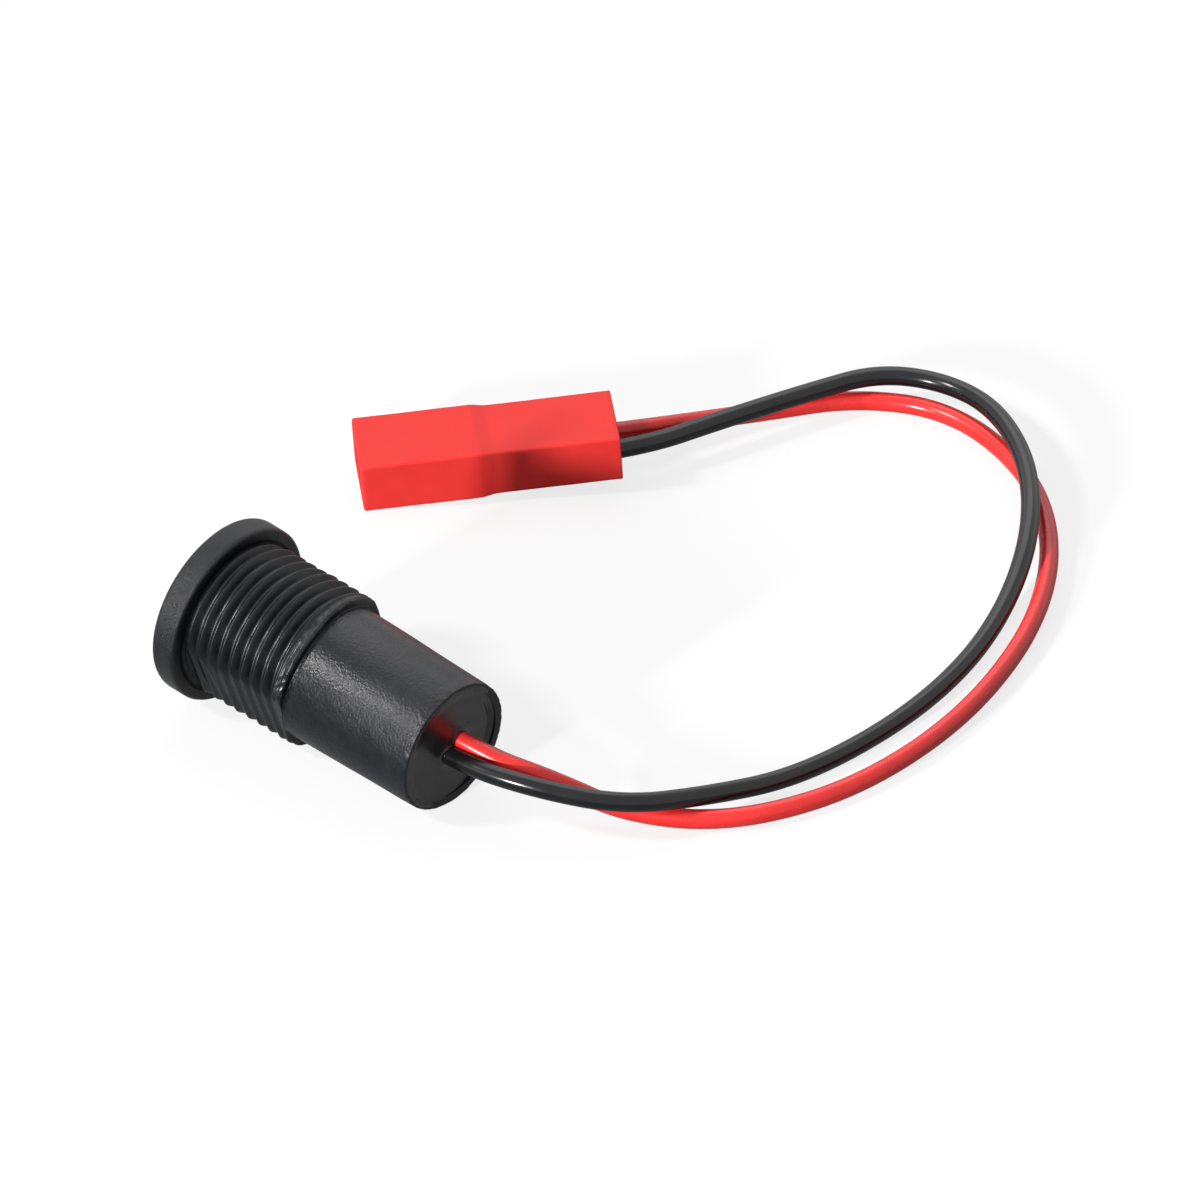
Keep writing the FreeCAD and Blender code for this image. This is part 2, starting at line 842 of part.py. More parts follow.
def make_leads():
    for label, route, sign in (("red_wire", red_route, 1), ("black_wire", black_route, -1)):
        points = [
            port_point(amount("wire_start"), sign),
            port_point(amount("port_length + wire_straight_exit"), sign),
            *route,
            plug_point(amount("plug_length + wire_straight_at_plug"), sign),
            plug_point(amount("plug_wire_end"), sign),
        ]
        make_lead(label, points)


make_housing()
make_carrier()
make_centre_pin()
make_pin_terminal()
make_sleeve_spring()
make_resin()
make_port_joint("red", "")
make_port_joint("black", "-")
make_connector_housing()
make_contact("red", "")
make_contact("black", "-")
make_leads()

doc.recompute()
for thing in doc.Objects:
    if "Invalid" in thing.State or "Error" in thing.State:
        raise ValueError(f"{thing.Label} did not recompute: {thing.State}")
for label, thing in nodes.items():
    shape = thing.Shape
    if shape.isNull() or not shape.isValid() or not shape.Solids:
        raise ValueError(f"{label} has no valid solid")
for label, thing in nodes.items():
    thing.Shape.exportStep(f"parts/{label}.step")
    print(label, "solids", len(thing.Shape.Solids), "volume", round(thing.Shape.Volume, 2))
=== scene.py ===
import json
import math

import bpy
import numpy as np
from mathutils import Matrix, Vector


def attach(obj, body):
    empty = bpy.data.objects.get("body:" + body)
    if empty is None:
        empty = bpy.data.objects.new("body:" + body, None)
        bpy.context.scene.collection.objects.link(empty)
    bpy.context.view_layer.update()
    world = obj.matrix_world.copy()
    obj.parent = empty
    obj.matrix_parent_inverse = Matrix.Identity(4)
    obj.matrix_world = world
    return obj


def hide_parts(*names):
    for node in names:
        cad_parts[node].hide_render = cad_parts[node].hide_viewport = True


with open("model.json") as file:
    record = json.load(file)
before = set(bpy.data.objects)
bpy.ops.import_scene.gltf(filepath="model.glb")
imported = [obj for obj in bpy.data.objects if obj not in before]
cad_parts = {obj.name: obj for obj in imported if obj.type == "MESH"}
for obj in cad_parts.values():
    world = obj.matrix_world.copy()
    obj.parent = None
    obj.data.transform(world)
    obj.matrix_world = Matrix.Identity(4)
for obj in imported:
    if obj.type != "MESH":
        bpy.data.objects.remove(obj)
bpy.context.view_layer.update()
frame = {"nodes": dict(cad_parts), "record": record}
print("frame loaded:", len(frame["nodes"]), "nodes")

mm = 0.001
tau = 2 * math.pi

# the record's mounts say where the port and the connector lie
mounts = {mount["name"]: mount for mount in frame["record"]["mounts"]}


def unit(vector):
    return vector / np.linalg.norm(vector)


class Place:
    # A local frame in millimetres: x runs into the piece from its mouth, z is up as far as x allows
    def __init__(self, mountName, centreHeight=0.0):
        self.x = -unit(np.array(mounts[mountName]["axis"], float))
        self.y = unit(np.cross([0, 0, 1], self.x))
        self.z = np.cross(self.x, self.y)
        self.origin = np.array(mounts[mountName]["pos_m"], float) - self.z * centreHeight * mm

    def points(self, local):
        # local is (..., 3) in millimetres, the result is in metres in the row's frame
        local = np.asarray(local, float) * mm
        sideways = local[..., 1:2] * self.y
        upwards = local[..., 2:3] * self.z
        return self.origin + local[..., :1] * self.x + sideways + upwards


portPlace = Place("charging_socket")
plugPlace = Place("connector_mouth", centreHeight=1.95)


view = {
    "position": (0.505516, -0.539200, 0.514000),
    "target": (0.010518, 0.017158, 0.008587),
    "lens": 372.507,
    "sensor": 36.0,
    "near": 0.01,
    "far": 20,
}


def makeCamera():
    camera = bpy.data.objects.new("camera", bpy.data.cameras.new("camera"))
    bpy.context.scene.collection.objects.link(camera)
    camera.data.lens = view["lens"]
    camera.data.sensor_width = view["sensor"]
    camera.data.clip_start = view["near"]
    camera.data.clip_end = view["far"]
    camera.location = view["position"]
    look = Vector(view["target"]) - Vector(view["position"])
    camera.rotation_euler = look.to_track_quat("-Z", "Y").to_euler()
    bpy.context.scene.camera = camera


makeCamera()


class Shading:
    # A short way to place nodes in a material, a world or a node group
    def __init__(self, tree):
        self.tree = tree

    def add(self, kind, operation=None, **settings):
        node = self.tree.nodes.new(kind)
        if operation is not None:
            node.operation = operation
        for name, value in settings.items():
            setattr(node, name, value)
        return node

    def link(self, source, target):
        self.tree.links.new(source, target)

    def math(self, operation, first, second=None, third=None):
        node = self.add("ShaderNodeMath", operation)
        for index, value in enumerate((first, second, third)):
            if value is None:
                continue
            if isinstance(value, (int, float)):
                node.inputs[index].default_value = value
            else:
                self.link(value, node.inputs[index])
        return node.outputs[0]

    def noise(self, vector, scale, detail, roughness):
        node = self.add("ShaderNodeTexNoise")
        node.inputs["Scale"].default_value = scale
        node.inputs["Detail"].default_value = detail
        node.inputs["Roughness"].default_value = roughness
        self.link(vector, node.inputs["Vector"])
        return node.outputs["Fac"]

    def cells(self, vector, scale):
        node = self.add("ShaderNodeTexVoronoi", feature="SMOOTH_F1")
        node.inputs["Scale"].default_value = scale
        self.link(vector, node.inputs["Vector"])
        return node.outputs["Distance"]

    def blend(self, factor, first, second):
        # Mixes two colours; each is a socket or a plain colour
        node = self.add("ShaderNodeMix", data_type="RGBA")
        sockets = (node.inputs[0], node.inputs[6], node.inputs[7])
        for socket, value in zip(sockets, (factor, first, second)):
            if isinstance(value, (tuple, int, float)):
                socket.default_value = value
            else:
                self.link(value, socket)
        return node.outputs[2]

    def spread(self, value, low, high, newLow=0.0, newHigh=1.0):
        node = self.add("ShaderNodeMapRange")
        self.link(value, node.inputs["Value"])
        names = ("From Min", "From Max", "To Min", "To Max")
        for name, number in zip(names, (low, high, newLow, newHigh)):
            node.inputs[name].default_value = number
        return node.outputs["Result"]


def newMaterial(name, **values):
    # A material with a Principled shader whose constant values sit on its own sockets
    material = bpy.data.materials.new(name)
    material.use_nodes = True
    shading = Shading(material.node_tree)
    shader = material.node_tree.nodes["Principled BSDF"]
    for socket, value in values.items():
        shader.inputs[socket.replace("_", " ")].default_value = value
    place = shading.add("ShaderNodeTexCoord").outputs["Object"]
    return material, shading, shader, place


def skin(name, grid, wrapAlong=False, capStart=False, capEnd=False, attributes=None):
    # A surface from rings of points (rows, columns, 3); a cap is a fan round the mean of its row
    rows, columns = grid.shape[:2]
    vertices = grid.reshape(-1, 3)
    rowStart = np.arange(rows if wrapAlong else rows - 1)
    i, j = np.meshgrid(rowStart, np.arange(columns), indexing="ij")
    nextI, nextJ = (i + 1) % rows, (j + 1) % columns
    corners = [i * columns + j, nextI * columns + j, nextI * columns + nextJ, i * columns + nextJ]
    faces = np.stack(corners, -1).reshape(-1, 4).tolist()
    for wanted, row, forward in ((capStart, 0, True), (capEnd, rows - 1, False)):
        if not wanted:
            continue
        middle = len(vertices)
        vertices = np.vstack([vertices, grid[row].mean(axis=0)])
        ring = row * columns + np.arange(columns)
        fan = np.stack([ring, np.roll(ring, -1), np.full(columns, middle)], -1)
        faces += (fan if forward else fan[:, ::-1]).tolist()
    mesh = bpy.data.meshes.new(name)
    mesh.from_pydata(vertices.tolist(), [], faces)
    mesh.polygons.foreach_set("use_smooth", np.ones(len(faces), bool))
    piece = bpy.data.objects.new(name, mesh)
    bpy.context.scene.collection.objects.link(piece)
    for key, values in (attributes or {}).items():
        data = np.zeros(len(vertices), np.float32)
        data[: rows * columns] = values.reshape(-1)
        mesh.attributes.new(key, "FLOAT", "POINT").data.foreach_set("value", data)
    turnOutwards(mesh)
    return piece


def turnOutwards(mesh):
    # The volume under all the faces, fanned to triangles, tells which way a closed mesh faces
    mesh.calc_loop_triangles()
    corners = np.zeros(len(mesh.loop_triangles) * 3, int)
    mesh.loop_triangles.foreach_get("vertices", corners)
    places = np.zeros(len(mesh.vertices) * 3)
    mesh.vertices.foreach_get("co", places)
    a, b, c = places.reshape(-1, 3)[corners.reshape(-1, 3)].transpose(1, 0, 2)
    if np.einsum("ij,ij->i", a, np.cross(b, c)).sum() < 0:
        mesh.flip_normals()
    mesh.update()


def waves(places, size, seed, count=14):
    # A smooth random field, mostly between -1.4 and 1.4: a sum of sines in random directions
    random = np.random.default_rng(seed)
    total = np.zeros(places.shape[:-1])
    for _ in range(count):
        direction = unit(random.normal(size=3)) * random.uniform(0.6, 1.5) * tau / size
        total += np.sin(places @ direction + random.uniform(0, tau))
    return total / math.sqrt(count)


def unevenness(places, layers):
    # A sum of random fields; each layer is its height, its size and its seed
    return sum(height * waves(places, size, seed) for height, size, seed in layers)


def soften(value, low, high):
    # 0 below low, 1 above high and smooth between
    share = np.clip((value - low) / (high - low), 0, 1)
    return share * share * (3 - 2 * share)


def nearFacing(facing, degrees, low, high):
    # 1 on the side that faces this way round the axis, fading by the cosine of the angle to it
    return soften(np.cos(facing - math.radians(degrees)), low, high)


def roundedPath(corners, step):
    # Corners are (x, r, rounding); an arc tangent to both runs rounds each, step samples the runs
    points = []
    count = len(corners)
    for index, (x, r, rounding) in enumerate(corners):
        corner = np.array([x, r], float)
        inward = unit(np.array(corners[index - 1][:2], float) - corner)
        outward = unit(np.array(corners[(index + 1) % count][:2], float) - corner)
        if rounding == 0:
            points.append(corner[None])
            continue
        opening = math.acos(np.clip(inward @ outward, -1, 1))
        reach = rounding / math.tan(opening / 2)
        centre = corner + unit(inward + outward) * rounding / math.sin(opening / 2)
        first, last = corner + inward * reach - centre, corner + outward * reach - centre
        sweep = math.atan2(first[0] * last[1] - first[1] * last[0], first @ last)
        angles = np.linspace(0, sweep, 7)
        across = first[0] * np.cos(angles) - first[1] * np.sin(angles)
        up = first[0] * np.sin(angles) + first[1] * np.cos(angles)
        points.append(centre + np.stack([across, up], -1))
    sampled = []
    for index, piece in enumerate(points):
        sampled.append(piece)
        start, end = piece[-1], points[(index + 1) % count][0]
        pieces = max(1, math.ceil(np.linalg.norm(end - start) / step(start, end)))
        shares = np.arange(1, pieces)[:, None] / pieces
        sampled.append(start + shares * (end - start))
    return np.vstack(sampled)


lead = {
    "diameter": 1.45,
    # the first control points, each along, across and up in the port
    "redFromPort": ((18.0, 0.58, 0.55), (24.8, 0.5, 0.2)),
    "blackFromPort": ((18.0, -0.58, -0.55), (24.4, -0.58, -0.55)),
    "pairSide": 0.5803,
    "pairRise": 0.5507,
    "atPlug": (21.0, 16.0),
    "plugSide": 1.25,
    "plugHeight": 1.35,
    "length": 121.5,
    "smoothness": 24,
    "roundness": 6,
}

# the routes of the solids, in metres
redRoute = [
    (0.0184, 0.0036, 0.0033),
    (0.0224, 0.0065, 0.0009),
    (0.0282, 0.0103, 0.00075),
    (0.0319, 0.0174, 0.00075),
    (0.0330, 0.0260, 0.00075),
    (0.0319, 0.0355, 0.00075),
    (0.0284, 0.0456, 0.00075),
    (0.0226, 0.0542, 0.00075),
    (0.0150, 0.0601, 0.00075),
    (0.0058, 0.0624, 0.00075),
    (-0.0008, 0.0590, 0.00075),
    (-0.0049, 0.0524, 0.0008),
]
blackRoute = [
    (0.0192, 0.0010, 0.0043),
    (0.0240, 0.0046, 0.0033),
    (0.0263, 0.0106, 0.0020),
    (0.0285, 0.0180, 0.00075),
    (0.0296, 0.0275, 0.00075),
    (0.0286, 0.0368, 0.00075),
    (0.0258, 0.0452, 0.0010),
    (0.0220, 0.0524, 0.0023),
    (0.0161, 0.0589, 0.0025),
    (0.0096, 0.0628, 0.0025),
    (0.0040, 0.0633, 0.0022),
    (-0.0002, 0.0606, 0.0024),
    (-0.0021, 0.0554, 0.0025),
    (-0.0044, 0.0482, 0.0026),
]


def makeLead(name, start, route, sign):
    # A smooth NURBS line whose control points are the route's points, with a round section
    plugEnds = [(along, sign * lead["plugSide"], lead["plugHeight"]) for along in lead["atPlug"]]
    points = [*portPlace.points(start), *route, *plugPlace.points(plugEnds)]
    data = bpy.data.curves.new(name, "CURVE")
    data.dimensions = "3D"
    data.resolution_u = lead["smoothness"]
    data.bevel_depth = lead["diameter"] / 2 * mm
    data.bevel_resolution = lead["roundness"]
    data.use_fill_caps = True
    spline = data.splines.new("NURBS")
    spline.points.add(len(points) - 1)
    for point, place in zip(spline.points, points):
        point.co = (*place, 1)
    spline.order_u = 3
    spline.use_endpoint_u = True
    spline.resolution_u = lead["smoothness"]
    piece = bpy.data.objects.new(name, data)
    bpy.context.scene.collection.objects.link(piece)
    return piece


redLead = makeLead("redLead", lead["redFromPort"], redRoute, 1)
blackLead = makeLead("blackLead", lead["blackFromPort"], blackRoute, -1)
print("leads made")


housing = {
    "columns": 256,
    "threadStep": 0.05,
    "flangeRadius": 7.0,
    "flangeThickness": 2.1,
    "flangeRounding": 0.35,
    "faceStepRadius": 6.15,     # a faint ring step round the front face
    "faceStep": 0.03,
    "seatRadius": 6.12,
    "seatRelief": 0.12,
    "crestRadius": 6.0,
    "pitch": 1.045,
    "threadDepth": 0.55,
    "crestHalfWidth": 0.03,
    "rootHalfWidth": 0.08,
    "flankCurve": 0.18,     # share of a smooth curve in the straight flanks
    "leadIn": (0.08, 0.34),     # how far behind the flange the thread rises
    "runOut": (0.02, 0.4),      # how far behind threadEnd the last groove fades
    "firstCrest": 2.5,
    "crestFacing": 136.0,   # degrees round the axis where the first crest stands at firstCrest
    "bulge": 0.08,          # how much fuller the thread is on its upper side
    "bulgeFacing": 46.0,
    "bulgeStart": 6.3,
    "bulgeFull": 7.6,
    "threadEnd": 10.86,
    "collarEnd": 11.875,
    "collarRounding": 0.25,
    "leanStart": 10.4,
    "leanFade": 2.2,
    "collarSlope": 0.6,     # how far the rear edge of the collar leans forward
    "collarSlopeFacing": 40.0,
    "collarDip": 0.4,       # a further lean where the near flat ends
    "collarDipFacing": 232.0,
    "collarSink": 0.03,
    "hollowDepth": 0.06,    # of the shallow groove round the collar
    "hollowMiddle": 0.5,
    "hollowHalf": 0.36,
    "collarSkin": ((0.034, 1.1, 4), (0.024, 0.45, 5)),
    "ridgeHeight": 0.025,
    "ridgePitch": 0.27,
    "ridgePatches": (2.6, 6),
    "barrelSkin": ((0.008, 4.0, 8),),
    "rimSkin": ((0.02, 0.6, 12),),
    "flangeSkin": ((0.006, 3.0, 9),),
    "flangeWear": 0.02,
    "barrelFront": 5.3,
    "barrelRear": 5.1,
    "rimRounding": 0.08,
    "rimReach": 0.2,        # how far the rim stands out on its long side
    "rimReachFacing": -35.0,
    "rimReachStart": 1.6,
    "rimWear": 0.015,
    "length": 23.2,
    "cavityRadius": 4.4,
    "frontWall": 1.4,
    "mouthRadius": 3.0,
    "mouthChamfer": 0.4,
    "nearFlat": 5.17,
    "nearFlatFacing": 202.0,
    "nearFlatTaper": 0.13,      # how much further out it stands towards the flange
    "nearFlatTaperRun": (5.5, 7.5),
    "farFlat": 5.5,
    "farFlatFacing": 17.0,
    "flatRipple": 0.14,     # how far faint thread lines stand on the flats
    "flatBlend": 0.2,       # over what height a crest fades into a flat
}


def housingProfile():
    # The closed outline of half a section through the axis, from the mouth outwards and back inside
    h = housing
    flange, rear = h["flangeThickness"], h["length"]
    corners = [
        (h["mouthChamfer"], h["mouthRadius"], 0.05),
        (0, h["mouthRadius"] + h["mouthChamfer"], 0.06),
        (0, h["faceStepRadius"], 0),
        (h["faceStep"], h["faceStepRadius"] + 0.05, 0),
        (0, h["flangeRadius"], h["flangeRounding"]),
        (flange, h["flangeRadius"], h["flangeRounding"]),
        (flange, h["seatRadius"], 0.03),
        (flange - h["seatRelief"], h["seatRadius"], 0),
        (flange - h["seatRelief"], h["crestRadius"], 0),
        (h["collarEnd"], h["crestRadius"], h["collarRounding"]),
        (h["collarEnd"], h["barrelFront"] + 0.02, 0.05),
        (rear, h["barrelRear"], h["rimRounding"]),
        (rear, h["cavityRadius"], 0.07),
        (h["frontWall"], h["cavityRadius"], 0.1),
        (h["frontWall"], h["mouthRadius"], 0.05),
    ]

    def step(start, end):
        onThread = start[1] > 5.8 and end[1] > 5.8 and abs(end[0] - start[0]) > 5
        if onThread:
            return h["threadStep"]
        return 0.4 if min(start[1], end[1]) > 4.5 else 2.0

    return roundedPath(corners, step)


def threadRadius(x, facing, base, plainX):
    # A right-handed helix: the crests move one pitch along the axis in one turn of facing.
    # The groove gets deeper with the distance to the nearest crest, and both its ends fade.
    h = housing
    turned = (facing - math.radians(h["crestFacing"])) / tau
    phase = (x - h["firstCrest"]) / h["pitch"] - turned
    offCrest = np.abs(phase - np.round(phase)) * h["pitch"]
    half = h["pitch"] / 2
    flank = half - h["crestHalfWidth"] - h["rootHalfWidth"]
    depth = np.clip((offCrest - h["crestHalfWidth"]) / flank, 0, 1)
    depth += (soften(depth, 0, 1) - depth) * h["flankCurve"]
    leadIn = 1 - soften(plainX - h["flangeThickness"], *h["leadIn"])
    runOut = 1 - soften(plainX - h["threadEnd"], *h["runOut"])
    return base - h["threadDepth"] * np.maximum(depth * runOut, leadIn)


def makeHousing():
    h = housing
    profile = housingProfile()
    facing = np.arange(h["columns"]) * tau / h["columns"]
    plainX = np.repeat(profile[:, :1], h["columns"], 1)
    radius = np.repeat(profile[:, 1:], h["columns"], 1)
    facing = np.repeat(facing[None], len(profile), 0)
    shape = np.stack([plainX, radius * np.cos(facing), radius * np.sin(facing)], -1)
    outside = radius > h["cavityRadius"] + 0.2

    # the rear edge of the collar leans, and the rim stands out a little on one side
    rise = np.clip((plainX - h["leanStart"]) / (h["collarEnd"] - h["leanStart"]), 0, 1)
    fall = 1 - np.clip((plainX - h["collarEnd"]) / h["leanFade"], 0, 1)
    lean = np.cos(facing - math.radians(h["collarSlopeFacing"])) ** 2
    lean = lean + h["collarDip"] * nearFacing(facing, h["collarDipFacing"], 0.88, 1.0)
    x = plainX - np.where(outside, h["collarSlope"] * lean * rise * fall, 0)
    rim = soften(plainX, h["length"] - h["rimReachStart"], h["length"])
    x = x + h["rimReach"] * rim * nearFacing(facing, h["rimReachFacing"], 0.0, 1.0)

    relief = h["flangeThickness"] - h["seatRelief"]
    onThread = (radius > 5.7) & (radius < 6.05) & (plainX > relief - 0.01)
    onThread &= plainX < h["collarEnd"] - h["collarRounding"]
    radius = np.where(onThread, threadRadius(x, facing, radius, plainX), radius)
    fuller = soften(plainX, h["bulgeStart"], h["bulgeFull"])
    fuller = fuller * nearFacing(facing, h["bulgeFacing"], 0.3, 1.0)
    radius = radius + np.where(onThread, h["bulge"] * fuller, 0)

    # the run-out behind the last crest is a shallow hollow with an uneven, flash-like skin
    start, end = h["threadEnd"], h["collarEnd"]
    collar = soften(plainX, start + 0.1, start + 0.3) * (1 - soften(plainX, end + 0.02, end + 0.1))
    collar = np.where(outside & (radius > 5.5), collar, 0)
    fromMiddle = np.abs(plainX - start - h["hollowMiddle"])
    hollow = h["hollowDepth"] * (1 - soften(fromMiddle, 0.0, h["hollowHalf"]))
    ridges = h["ridgeHeight"] * np.sin(tau * x / h["ridgePitch"])
    ridges = ridges * soften(waves(shape, *h["ridgePatches"]), -0.8, 0.6)
    blotches = unevenness(shape, h["collarSkin"])
    radius = radius + collar * (blotches + ridges - h["collarSink"] - hollow)

    # slow unevenness of a moulded barrel, a crumbly edge at its rear, and the flange's worn rim
    onBarrel = outside & (plainX > end + 0.1) & (plainX < h["length"] - 0.05)
    radius = radius + np.where(onBarrel, unevenness(shape, h["barrelSkin"]), 0)
    atEdge = outside & (plainX > h["length"] - 0.2) & (radius > 4.8)
    radius = radius + np.where(atEdge, unevenness(shape, h["rimSkin"]) - h["rimWear"], 0)
    onFlange = outside & (plainX < 2.0) & (radius > h["flangeRadius"] - 0.1)
    radius = radius + np.where(onFlange, unevenness(shape, h["flangeSkin"]) - h["flangeWear"], 0)

    # a plane flat on each side of the thread and the collar keeps the port from turning in its panel
    keyed = outside & (radius > 5.0) & (radius < 6.3)
    keyed &= (plainX > h["flangeThickness"]) & (plainX < end + 0.001)
    nearPlane = h["nearFlat"] + h["nearFlatTaper"] * (1 - soften(plainX, *h["nearFlatTaperRun"]))
    planes = ((nearPlane, h["nearFlatFacing"]), (np.full_like(x, h["farFlat"]), h["farFlatFacing"]))
    crest = h["crestRadius"]
    threadLine = 1 - (crest - threadRadius(x, facing, crest, plainX)) / h["threadDepth"]
    for plane, degrees in planes:
        toFlat = np.cos(facing - math.radians(degrees))
        plane = plane + h["flatRipple"] * (threadLine - 0.5)
        flatRadius = np.where(toFlat > 0.6, plane / np.maximum(toFlat, 0.6), 99)
        # the lower of the two surfaces, rounded where they cross
        near = np.clip(1 - np.abs(radius - flatRadius) / h["flatBlend"], 0, 1)
        lower = np.minimum(radius, flatRadius) - near ** 2 * h["flatBlend"] / 4
        radius = np.where(keyed, lower, radius)

    local = np.stack([x, radius * np.cos(facing), radius * np.sin(facing)], -1)
    zones = {
        "flangeZone": soften(-plainX, -2.3, -2.0) * outside,
        "barrelZone": soften(plainX, end - 0.1, end + 0.1) * outside,
        "collarZone": collar,
        "rearZone": soften(plainX, end + 1.0, end + 9.0) * outside,
    }
    return skin("housingShell", portPlace.points(local), wrapAlong=True, attributes=zones)


housingShell = makeHousing()
print("housing made:", len(housingShell.data.polygons), "faces")


resin = {
    "columns": 144,
    "radius": 5.0,
    "depth": 4.4,
    "innerRadius": 4.3,
    "level": 23.18,
    "film": 0.05,       # how far it runs over the rim
    "edgeDrop": 0.07,
    "sink": 0.26,       # depth of the crescent where it sinks on its low side
    "sinkRadius": 4.0,
    "sinkWidth": 0.17,
    "lowFacing": -8.0,
    "leadClimb": 0.12,
    "leadClimbReach": 0.16,
    "skin": ((0.008, 2.2, 21),),
    "edgeSkin": ((0.012, 0.7, 22),),
    "pits": (           # each across, up, width and depth
        (1.9, -0.6, 0.16, 0.06),
        (1.35, 1.55, 0.1, 0.05),
        (-0.3, 1.9, 0.12, 0.04),
        (0.9, -1.5, 0.09, 0.05),
    ),
}


def makeResin():
    # A disc that runs over the rim, sinks in a crescent on one side and climbs a little round both leads
    r = resin
    radii = np.concatenate([np.linspace(0.02, 4.0, 56), np.linspace(4.06, r["radius"], 26)])
    facing = np.arange(r["columns"]) * tau / r["columns"]
    radius, angle = np.meshgrid(radii, facing, indexing="ij")
    y, z = radius * np.cos(angle), radius * np.sin(angle)
    crescent = np.exp(-((radius - r["sinkRadius"]) / r["sinkWidth"]) ** 2)
    level = r["level"] - r["sink"] * crescent * nearFacing(angle, r["lowFacing"], 0.6, 0.98)
    level += r["film"] * soften(radius, 4.0, 4.7) - r["edgeDrop"] * soften(radius, 4.8, r["radius"])
    for sign in (1, -1):
        off = np.hypot(y - sign * lead["pairSide"], z - sign * lead["pairRise"]) - lead["diameter"] / 2
        level += r["leadClimb"] * np.exp(-np.clip(off, 0, None) / r["leadClimbReach"])
    for pitY, pitZ, size, depth in r["pits"]:
        level -= depth * np.exp(-((y - pitY) ** 2 + (z - pitZ) ** 2) / size ** 2)
    flat = np.stack([y, z, z * 0], -1)
    level += unevenness(flat, r["skin"])
    level += unevenness(flat, r["edgeSkin"]) * soften(radius, 4.1, 4.6)
    top = np.stack([level, y, z], -1)
    below = top[-1:] * (r["innerRadius"] / r["radius"])
    below[..., 0] = r["level"] - r["depth"]
    return skin("resinFill", portPlace.points(np.concatenate([top, below])), capStart=True, capEnd=True)


resinFill = makeResin()
print("resin made")


plug = {
    "length": 19.5,
    "frontWidth": 7.0,
    "rearWidth": 6.7,
    "frontHeight": 3.9,
    "rearHeight": 3.7,
    "taperStart": 8.9,
    "taperEnd": 10.0,
    "rounding": 0.16,
    "frontRounding": 0.22,
    "rearRounding": 0.1,
    "mouthWidth": 5.4,
    "mouthHeight": 2.5,
    "mouthDepth": 9.6,
    "mouthRounding": 0.15,
    "lip": 0.1,
    "cavityWidth": 1.7,
    "cavityHeight": 1.6,
    "cavityDrop": 0.6,
    "cavityRounding": 0.12,
    "closing": (0.4, 0.2, 0.05),    # the small ring in the middle of a closing face
    "sinks": ((0.012, 7.0, 31), (0.005, 2.5, 32)),
    "sinkDepth": 0.014,
}


def roundedSection(width, height, rounding, perSide, perCorner):
    # A rectangle with round corners, one ring of (y, z) pairs, the same count whatever the size
    points = []
    for turn in range(4):
        sideways, upwards = (width / 2, height / 2) if turn % 2 == 0 else (height / 2, width / 2)
        arc = np.linspace(0, math.pi / 2, perCorner + 1)
        cornerY = sideways - rounding + rounding * np.cos(arc)
        cornerZ = upwards - rounding + rounding * np.sin(arc)
        run = np.linspace(-upwards + rounding, upwards - rounding, perSide + 2)[1:-1]
        across = np.concatenate([np.full(perSide, sideways), cornerY])
        up = np.concatenate([run, cornerZ])
        cosine, sine = math.cos(turn * math.pi / 2), math.sin(turn * math.pi / 2)
        points.append(np.stack([across * cosine - up * sine, across * sine + up * cosine], -1))
    return np.vstack(points)


